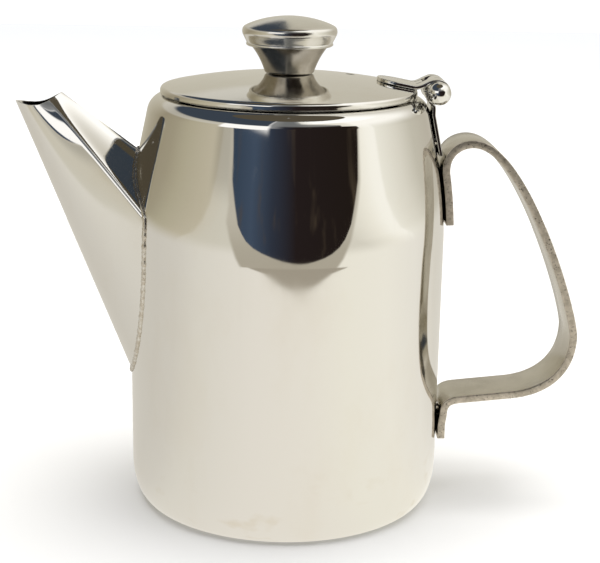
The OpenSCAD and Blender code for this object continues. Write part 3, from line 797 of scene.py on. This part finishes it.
def knob_cap():
    """The cap: a low dome, a round shoulder, a tapering skirt, and a rolled crimp under its edge."""
    top = cap_high.z
    wide = CRIMP_Z + 4.5 * MM
    dome = bezier((TINY_R, top), (CAP_R * 0.45, top), (CAP_R * 0.84, top - 2.2 * MM),
                  (CAP_R - 0.75 * MM, wide + 1.15 * MM), 36)
    edge = bezier(dome[-1], (CAP_R - 0.1 * MM, wide + 0.5 * MM), (CAP_R + 0.02 * MM, wide - 0.7 * MM),
                  (CAP_R - 0.5 * MM, wide - 1.6 * MM), 18)[1:]
    skirt = bezier(edge[-1], (CAP_R - 0.8 * MM, wide - 2.3 * MM),
                   (CRIMP_R + 0.1 * MM, CRIMP_Z + 1.2 * MM),
                   (CRIMP_R - 0.15 * MM, CRIMP_Z + 0.55 * MM), 12)[1:]
    crimp = arc((CRIMP_R - 0.5 * MM, CRIMP_Z + 0.1 * MM), 0.55 * MM, 40, -140, 14)
    outer = np.vstack([dome, edge, skirt, crimp])
    inner = np.vstack([[[CRIMP_R - 1.0 * MM, CRIMP_Z + 0.9 * MM]],
                       (np.vstack([dome, edge])[::-1] * [0.94, 1] - [0, 0.7 * MM])])
    inner[-1, 0] = TINY_R
    piece = turn("knob_cap_shell", np.vstack([outer, inner]), 160)
    return dress(sharpen(piece, 45), "lid", "knob_steel", ["knob_cap"], cap_metal)


def knob_screw():
    """The screw under the lid: a low round head with a slot, and its shank."""
    head_r = screw_high.x
    shank_r = 2 * MM
    seat = washer_low.z
    low = screw_low.z
    head = bezier((TINY_R, low), (head_r * 0.6, low), (head_r, low + 0.5 * MM),
                  (head_r, seat - 0.4 * MM), 12)
    profile = np.vstack([head, [[head_r, seat]], [[shank_r, seat]], [[shank_r, screw_high.z]],
                         [[TINY_R, screw_high.z]]])
    piece = turn("knob_screw_head", profile, 64)
    slot_half, slot_deep = 0.5 * MM, 1.1 * MM
    slot = block((-5 * MM, -slot_half, low - MM), (5 * MM, slot_half, low + slot_deep))
    piece = cut_away(piece, [slot])
    return dress(sharpen(piece, 30), "lid", "zinc_hardware", ["knob_screw"], screw_metal)


def knob_washer():
    """The washer between the screw's head and the lid."""
    inner_r, outer_r = 2.2 * MM, washer_high.x
    low, high = washer_low.z, washer_high.z
    soft = 0.12 * MM
    profile = np.array([[inner_r, low], [outer_r - soft, low], [outer_r, low + soft],
                        [outer_r, high - soft], [outer_r - soft, high], [inner_r, high]])
    piece = turn("knob_washer_ring", profile, 64, loop=True)
    return dress(sharpen(piece, 30), "lid", "zinc_hardware", ["knob_washer"], screw_metal)


# ------------------------------------------------------------------ studio

POT_TURN = math.radians(-2.0)
TENT_R, TENT_H = 440 * MM, 1100 * MM


def turned_about_z(point, angle):
    """A point turned round the upright axis by an angle."""
    c, s = math.cos(angle), math.sin(angle)
    return Vector((point[0] * c - point[1] * s, point[0] * s + point[1] * c, point[2]))


def add_camera():
    """The camera stands in front of the pot, a little above it, and leans very slightly."""
    away, height = 462.0 * MM, 197.6 * MM
    pan, tilt, lean = 0.0100, 0.2636, 0.0170
    ahead = Vector((math.sin(pan) * math.cos(tilt), math.cos(pan) * math.cos(tilt),
                    -math.sin(tilt)))
    right = Vector((math.cos(pan), -math.sin(pan), 0))
    up = right.cross(ahead)
    right, up = (right * math.cos(lean) + up * math.sin(lean),
                 up * math.cos(lean) - right * math.sin(lean))
    basis = [turned_about_z(v, POT_TURN) for v in (right, up, -ahead)]
    place = turned_about_z((0, -away, height), POT_TURN)
    data = bpy.data.cameras.new("camera")
    data.lens = 85.3
    data.sensor_width = 36
    data.clip_start = 0.01
    camera = bpy.data.objects.new("camera", data)
    bpy.context.scene.collection.objects.link(camera)
    m = Matrix([[basis[c][r] for c in range(3)] for r in range(3)]).to_4x4()
    m.translation = place
    camera.matrix_world = m
    bpy.context.scene.camera = camera


def round_about(s):
    """The shading point's bearing from the front in degrees, and its reach and height in mm."""
    split = s.node("SeparateXYZ", {"Vector": s.coords})
    x, y, z = (split.outputs[k] for k in "XYZ")
    bearing = s.math("MULTIPLY", s.math("ARCTAN2", x, s.math("MULTIPLY", y, -1.0)), 180 / math.pi)
    out = s.math("SQRT", s.math("ADD", s.math("POWER", x, 2.0), s.math("POWER", y, 2.0)))
    bearing = s.math("SUBTRACT", bearing, math.degrees(POT_TURN))
    return bearing, s.math("DIVIDE", out, MM), s.math("DIVIDE", z, MM)


def emit(s, color):
    """Finishes a stage material that only glows in its colour."""
    shader = s.node("Emission", {"Color": color, "Strength": 1.0})
    s.tree.links.new(shader.outputs[0], s.out.inputs["Surface"])
    return s.material


def stage_piece(name, rings, material):
    """An open surface over rings of points, for the tent: it shows only in reflections."""
    n, m = rings.shape[:2]
    i, j = np.meshgrid(np.arange(n - 1), np.arange(m), indexing="ij")
    l = (j + 1) % m
    quads = np.stack([i * m + j, i * m + l, (i + 1) * m + l, (i + 1) * m + j], -1).reshape(-1, 4)
    mesh = bpy.data.meshes.new(name)
    mesh.from_pydata(rings.reshape(-1, 3).tolist(), [], quads.tolist())
    mesh.materials.append(material)
    piece = bpy.data.objects.new(name, mesh)
    bpy.context.scene.collection.objects.link(piece)
    piece.visible_camera = False
    piece.visible_shadow = False
    return piece


FLOOR_TONES = [(-180, .70, .67, .60), (-100, .71, .68, .62), (-80, .75, .72, .66), (-60, .83, .80, .73),
               (-20, .92, .88, .81), (15, .96, .92, .84), (40, 1.0, .97, .87), (70, 1.02, .99, .90),
               (100, .96, .93, .86), (130, .80, .77, .70), (180, .70, .67, .60)]


def tent_wall():
    """Cloth of a round light tent: a darker left, a bright right, and a rounded opening in front.

    The opening looks into a dark room, blue to its left and nearly black to its right. Two bright
    cloths hang over it, on the left and on the right, and a grey one between them.
    """
    s = Shader("tent_cloth")
    bearing, _, up = round_about(s)
    sag = s.curve(up, [(0, 40), (40, 28), (60, 16), (90, 9), (130, 4), (220, 0), (1100, 0)])
    folded = s.math("SUBTRACT", bearing, s.math("MULTIPLY", s.math("SIGN", bearing), sag))
    middle = s.tones(folded, -180, 180, [
        (-180, .64, .61, .52), (-140, .52, .48, .38), (-115, .37, .33, .24), (-95, .41, .37, .27),
        (-80, .50, .46, .34), (-60, .58, .53, .41), (-51, .61, .56, .44), (-49, .70, .66, .56),
        (-40, .72, .69, .60), (30, .80, .77, .68), (50, 1.02, .99, .89), (60, 1.12, 1.10, 1.02),
        (67, 1.14, 1.12, 1.05), (69, 1.0, .98, .89), (88, .84, .81, .72), (105, .65, .62, .53),
        (130, .56, .52, .44), (180, .64, .61, .52)])
    low = s.tones(bearing, -180, 180, FLOOR_TONES)
    color = s.mix(s.ramp(up, 22.0, 52.0), low, middle)
    strip_fade = s.math("MULTIPLY", s.ramp(up, 120.0, 220.0, 0.0, 0.30),
                        s.math("MULTIPLY", s.ramp(bearing, -58.0, -50.0), s.ramp(bearing, -20.0, -30.0)))
    color = s.mix(strip_fade, color, (0.05, 0.045, 0.03, 1))
    left_high = s.math("MULTIPLY", s.ramp(up, 330.0, 600.0, 0.0, 0.9), s.ramp(bearing, -54.0, -62.0))
    color = s.mix(left_high, color, (0.08, 0.08, 0.07, 1))
    right_high = s.math("MULTIPLY", s.ramp(up, 200.0, 460.0), s.ramp(bearing, 52.0, 60.0))
    bright = s.math("MULTIPLY", right_high, s.ramp(bearing, 165.0, 110.0))
    color = s.mix(bright, color, (1.22, 1.20, 1.15, 1))

    # The dark room seen through the opening, and the cloth's turned edge round it.
    left_edge = s.curve(up, [(0, -32), (100, -33), (140, -35.5), (180, -38), (220, -40.5),
                             (246, -43), (1100, -43)])
    right_edge = s.curve(up, [(0, 43), (100, 43.5), (140, 46.5), (180, 49.5), (220, 53), (270, 56),
                              (350, 56), (385, 44), (460, 45), (500, 38), (560, 27), (640, 12),
                              (1100, 12)])
    sill = s.curve(bearing, [(-40, 150), (-33, 98), (-30, 78), (-27, 62), (-22, 47), (-16, 36),
                             (-9, 26), (-2, 18), (4, 13.5), (9, 12), (14, 13.5), (19, 18), (25, 25),
                             (30, 34), (35, 48), (39, 66), (43, 95), (50, 160)])
    inside = s.math("MINIMUM", s.math("MINIMUM", s.math("SUBTRACT", bearing, left_edge),
                                      s.math("SUBTRACT", right_edge, bearing)),
                    s.math("MULTIPLY", s.math("SUBTRACT", up, sill), 0.4))
    left_lip = s.curve(up, [(0, -31), (20, -34), (60, -38), (100, -41), (140, -40), (250, -44),
                            (1100, -44)])
    right_lip = s.curve(up, [(0, 34), (20, 38), (60, 43), (100, 46), (140, 49), (250, 56),
                             (1100, 56)])
    lip_side = s.math("MINIMUM", s.math("SUBTRACT", bearing, left_lip),
                      s.math("SUBTRACT", right_lip, bearing))
    below = s.ramp(up, 262.0, 240.0)
    lip = s.math("MULTIPLY", s.ramp(lip_side, -1.5, 1.5), below)
    lip_tone = s.mix(s.ramp(up, 10.0, 120.0), (0.44, 0.40, 0.32, 1), (0.58, 0.54, 0.46, 1))
    color = s.mix(s.math("MULTIPLY", lip, 0.9), color, lip_tone)
    room = s.tones(bearing, -45, 60, [
        (-45, .035, .055, .09), (-24, .060, .088, .14), (-10, .032, .040, .062),
        (6, .020, .014, .014), (60, .016, .011, .008)])
    clutter = s.ramp(s.noise(14.0, s.stretched((1, 1, 0.45)), detail=3.0), 0.55, 0.8, 0.0, 0.6)
    room = s.mix(clutter, room, (0.10, 0.075, 0.05, 1))
    color = s.mix(s.ramp(inside, -0.7, 0.7), color, room)

    # The cloths that hang over the opening.
    over = s.ramp(up, 240.0, 250.0)
    grey = s.math("MULTIPLY", s.ramp(up, 380.0, 480.0),
                  s.math("MULTIPLY", s.ramp(bearing, -16.0, -12.0), s.ramp(inside, -1.0, 1.0)))
    color = s.mix(grey, color, (0.30, 0.30, 0.29, 1))
    soft = s.math("MULTIPLY", s.ramp(bearing, -2.0, -15.0, 0.0, 0.3), s.ramp(up, 290.0, 330.0))
    color = s.mix(soft, color, (0.9, 0.9, 0.9, 1))
    across = s.math("MULTIPLY", s.ramp(bearing, -57.0, -53.0), s.ramp(bearing, -13.0, -17.0))
    color = s.mix(s.math("MULTIPLY", across, over), color, (1.25, 1.24, 1.24, 1))
    dark_top = s.math("MULTIPLY", s.ramp(up, 400.0, 450.0), s.ramp(bearing, 20.0, 5.0))
    dark_top = s.math("MULTIPLY", dark_top, s.ramp(bearing, -16.0, -18.0, 0.45, 1.0))
    color = s.mix(dark_top, color, (0.05, 0.065, 0.09, 1))
    front = s.math("MULTIPLY", s.ramp(bearing, -60.0, -50.0), s.ramp(bearing, 120.0, 100.0))
    band = s.math("MULTIPLY", front,
                  s.math("MULTIPLY", s.ramp(up, 600.0, 680.0), s.ramp(bearing, 5.0, 30.0)))
    color = s.mix(band, color, (1.3, 1.3, 1.3, 1))
    return emit(s, color)


def tent_floor():
    """The cloth floor as the steel sees it: brighter to the right, a grey edge in front."""
    s = Shader("floor_glow")
    bearing, out, _ = round_about(s)
    color = s.tones(bearing, -180, 180, FLOOR_TONES)
    aside = s.math("SUBTRACT", bearing, 8.0)
    edge = s.math("ADD", s.math("MULTIPLY", s.math("POWER", aside, 2.0), 0.075), 354.0)
    lip = s.ramp(s.math("SUBTRACT", out, edge), -3.0, 6.0)
    near = s.ramp(s.math("ABSOLUTE", aside), 60.0, 40.0)
    color = s.mix(s.math("MULTIPLY", lip, near), color, (0.42, 0.38, 0.31, 1))
    return emit(s, color)


def add_tent():
    """A round tent of pale cloth, seen only in the steel: wall, dark top and floor."""
    a = np.linspace(0, 2 * np.pi, 144, endpoint=False)
    circle = np.stack([np.cos(a), np.sin(a), 0 * a], -1)
    wall_foot, floor_z = -0.6 * MM, -0.4 * MM
    heights = np.linspace(wall_foot, TENT_H, 12)[:, None, None] * np.array([0, 0, 1.0])
    stage_piece("tent_wall", circle[None] * TENT_R + heights, tent_wall())
    disc = circle[None] * TENT_R * np.array([0.02, 1.0])[:, None, None]
    stage_piece("tent_top", disc + [0, 0, TENT_H], emit(Shader("tent_top"), (0.10, 0.085, 0.06, 1)))
    stage_piece("tent_floor", disc + [0, 0, floor_z], tent_floor())


def add_floor():
    """A pale, matt, neutral floor for the camera."""
    s = Shader("floor_cloth")
    shader = s.node("BsdfDiffuse", {"Color": (0.87, 0.88, 0.90, 1)})
    s.tree.links.new(shader.outputs[0], s.out.inputs["Surface"])
    far = np.array([[-1.6, -0.44], [1.6, -0.44], [1.6, 1.8], [-1.6, 1.8]])
    mesh = bpy.data.meshes.new("floor")
    mesh.from_pydata([turned_about_z((x, y, -0.2 * MM), POT_TURN) for x, y in far], [], [(0, 1, 2, 3)])
    mesh.materials.append(s.material)
    floor = bpy.data.objects.new("floor", mesh)
    bpy.context.scene.collection.objects.link(floor)
    floor.visible_glossy = False


def add_light(name, place, aim, size, power, tint):
    """A large soft lamp that isn't itself seen, by the camera or in the steel."""
    data = bpy.data.lights.new(name, "AREA")
    data.shape = "RECTANGLE"
    data.size, data.size_y = size
    data.energy = power
    data.color = tint
    lamp = bpy.data.objects.new(name, data)
    bpy.context.scene.collection.objects.link(lamp)
    lamp.location = turned_about_z(place, POT_TURN)
    way = turned_about_z(aim, POT_TURN) - lamp.location
    lamp.rotation_euler = way.to_track_quat("-Z", "Y").to_euler()
    lamp.visible_glossy = False
    lamp.visible_camera = False


def add_world():
    """A white backdrop for the camera."""
    world = bpy.data.worlds.new("backdrop")
    bpy.context.scene.world = world
    world.use_nodes = True
    back = world.node_tree.nodes["Background"]
    back.inputs["Color"].default_value = (1, 1, 1, 1)
    back.inputs["Strength"].default_value = 1.1


body_shell()
spout()
spout_weld()
handle()
bracket()
lid_leaf()
hinge_pin()
pin_balls()
lid_shell()
knob_neck()
knob_cap()
knob_screw()
knob_washer()

# The spot welds keep their own meshes, which are small discs already.
for hidden_weld in ("handle_welds", "bracket_welds", "leaf_welds"):
    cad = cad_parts[hidden_weld]
    cad.data.materials.clear()
    cad.data.materials.append(weld_metal)

add_camera()
add_tent()
add_floor()
add_light("overhead", (0, 0.05, 0.80), (0, 0, 0), (0.9, 0.8), 9.0, (1.0, 0.985, 0.96))
add_world()
bpy.context.scene.view_settings.view_transform = "Standard"
bpy.context.scene.view_settings.look = "None"

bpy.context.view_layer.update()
